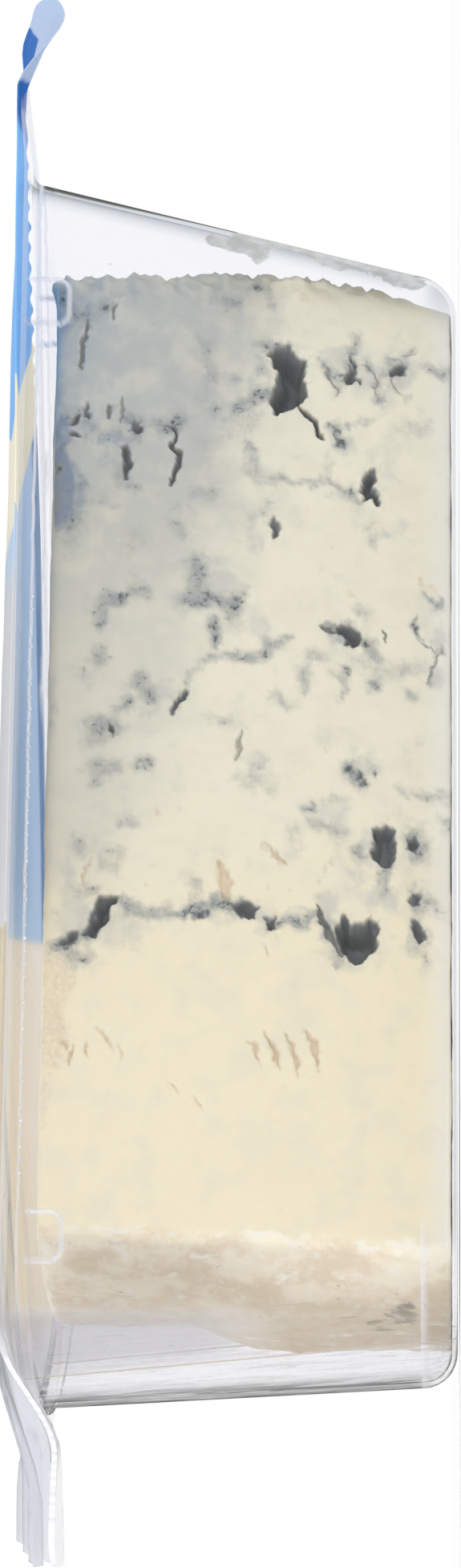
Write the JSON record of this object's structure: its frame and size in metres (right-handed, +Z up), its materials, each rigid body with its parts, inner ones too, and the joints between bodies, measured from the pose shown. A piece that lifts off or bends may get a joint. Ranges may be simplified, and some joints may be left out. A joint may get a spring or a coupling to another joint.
{
  "type": "blue cheese wedge in a clear tray",
  "caption": "Wedge of blue-veined cheese in a clear drafted tray with a narrow tip end, sealed by a printed lid film with a pull tab",
  "frame": {"origin": "on the resting plane under the tray's base, at the middle of the pack's outline", "axes": "+X runs along the wedge towards its tip, +Z up from the tray's base to the lid film, +Y across, the shown side faces -Y"},
  "size_m": [0.1448, 0.1282, 0.0426],
  "materials": {
    "cheese": "moist crumbly cream paste with blue-grey mould veins, dark holes and a greyish tan rind",
    "clear_tray": "thin clear formed sheet, glossy, slightly lavender where it is thick",
    "printed_film": "thin glossy film with a sky blue field, a cream band and a clear part at the rind end"
  },
  "bodies": {
    "root": {"cheese": "cheese", "tray": "clear_tray", "lid_film": "printed_film"}
  },
  "joints": []
}
